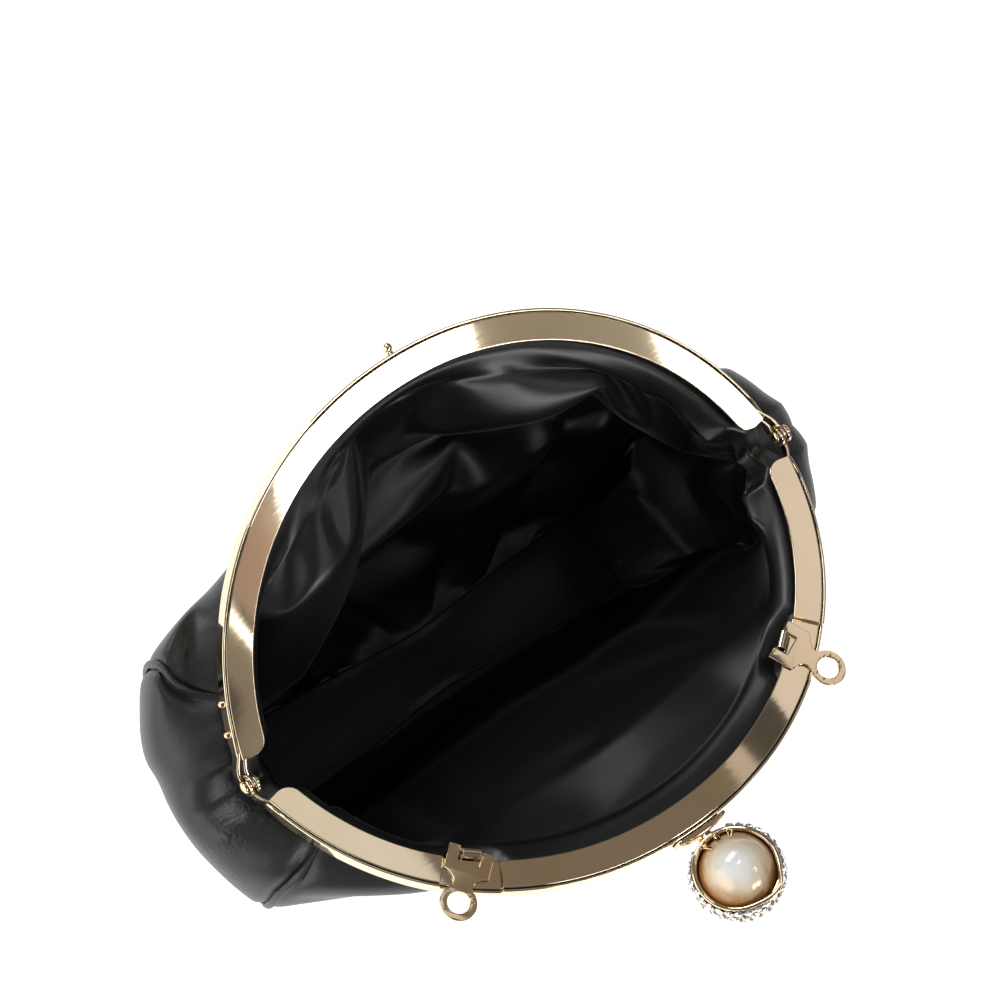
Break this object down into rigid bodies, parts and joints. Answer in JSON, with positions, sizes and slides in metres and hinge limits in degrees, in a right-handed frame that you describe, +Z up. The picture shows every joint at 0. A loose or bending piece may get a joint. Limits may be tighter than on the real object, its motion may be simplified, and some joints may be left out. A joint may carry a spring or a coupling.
{
  "type": "clutch purse",
  "caption": "Small framed clutch purse, black leather with satin lining, gilt kiss-lock frame, pearl clasp and folding chain lugs, shown wide open.",
  "frame": {"origin": "centre of the flat base's underside, straight below the middle of the hinge line", "axes": "+Z up, +X along the hinge line, the front half with the clasp opens towards -Y"},
  "size_m": [0.222, 0.1905, 0.1064],
  "materials": {
    "gold_frame": "polished pale gold plating",
    "gold_fittings": "polished pale gold plating",
    "nacre": "pearl lustre",
    "crystal": "clear cut glass",
    "black_leather": "smooth black, soft sheen, fine creases",
    "black_satin": "glossy woven satin",
    "board": "plain grey board"
  },
  "bodies": {
    "root": {"leather_front": "black_leather", "leather_back": "black_leather", "leather_end_left": "black_leather", "leather_end_right": "black_leather", "leather_base": "black_leather", "base_board": "board", "lining_front": "black_satin", "lining_back": "black_satin", "lining_end_left": "black_satin", "lining_end_right": "black_satin", "lining_base": "black_satin", "seam_front_left": "black_leather", "seam_back_left": "black_leather", "seam_front_right": "black_leather", "seam_back_right": "black_leather", "hinge_rivet_left": "gold_fittings", "hinge_rivet_right": "gold_fittings"},
    "frame_front": {"front_channel": "gold_frame", "front_plate": "gold_frame", "clasp_saddle": "gold_fittings", "clasp_cup": "gold_fittings", "clasp_pearl": "nacre", "clasp_bezel": "gold_fittings", "clasp_crystals": "crystal"},
    "frame_back": {"back_channel": "gold_frame", "back_plate": "gold_frame", "catch_ball": "gold_fittings", "arm_rivet_left_lower": "gold_fittings", "arm_rivet_left_upper": "gold_fittings", "arm_rivet_right_lower": "gold_fittings", "arm_rivet_right_upper": "gold_fittings"},
    "lug_left": {"chain_lug_left": "gold_fittings"},
    "lug_right": {"chain_lug_right": "gold_fittings"}
  },
  "joints": [
    {"name": "front_hinge", "type": "hinge", "parent": "root", "child": "frame_front", "pos_m": [0, 0, 0.078], "axis": [-1, 0, 0], "range_deg": [0, 79], "deforming": ["leather_front", "lining_front", "seam_front_left", "seam_front_right", "leather_end_left", "leather_end_right", "lining_end_left", "lining_end_right"]},
    {"name": "back_hinge", "type": "hinge", "parent": "root", "child": "frame_back", "pos_m": [0, 0, 0.078], "axis": [1, 0, 0], "range_deg": [0, 79], "deforming": ["leather_back", "lining_back", "seam_back_left", "seam_back_right"]},
    {"name": "lug_left_hinge", "type": "hinge", "parent": "frame_front", "child": "lug_left", "pos_m": [-0.05755, -0.0489, 0.08649], "axis": [-0.789, 0.6031, -0.1172], "range_deg": [0, 130]},
    {"name": "lug_right_hinge", "type": "hinge", "parent": "frame_front", "child": "lug_right", "pos_m": [0.05755, -0.0489, 0.08649], "axis": [-0.789, -0.6031, 0.1172], "range_deg": [0, 130]}
  ],
  "couplings": [
    {"joint": "back_hinge", "follows": "front_hinge", "ratio": 1}
  ]
}
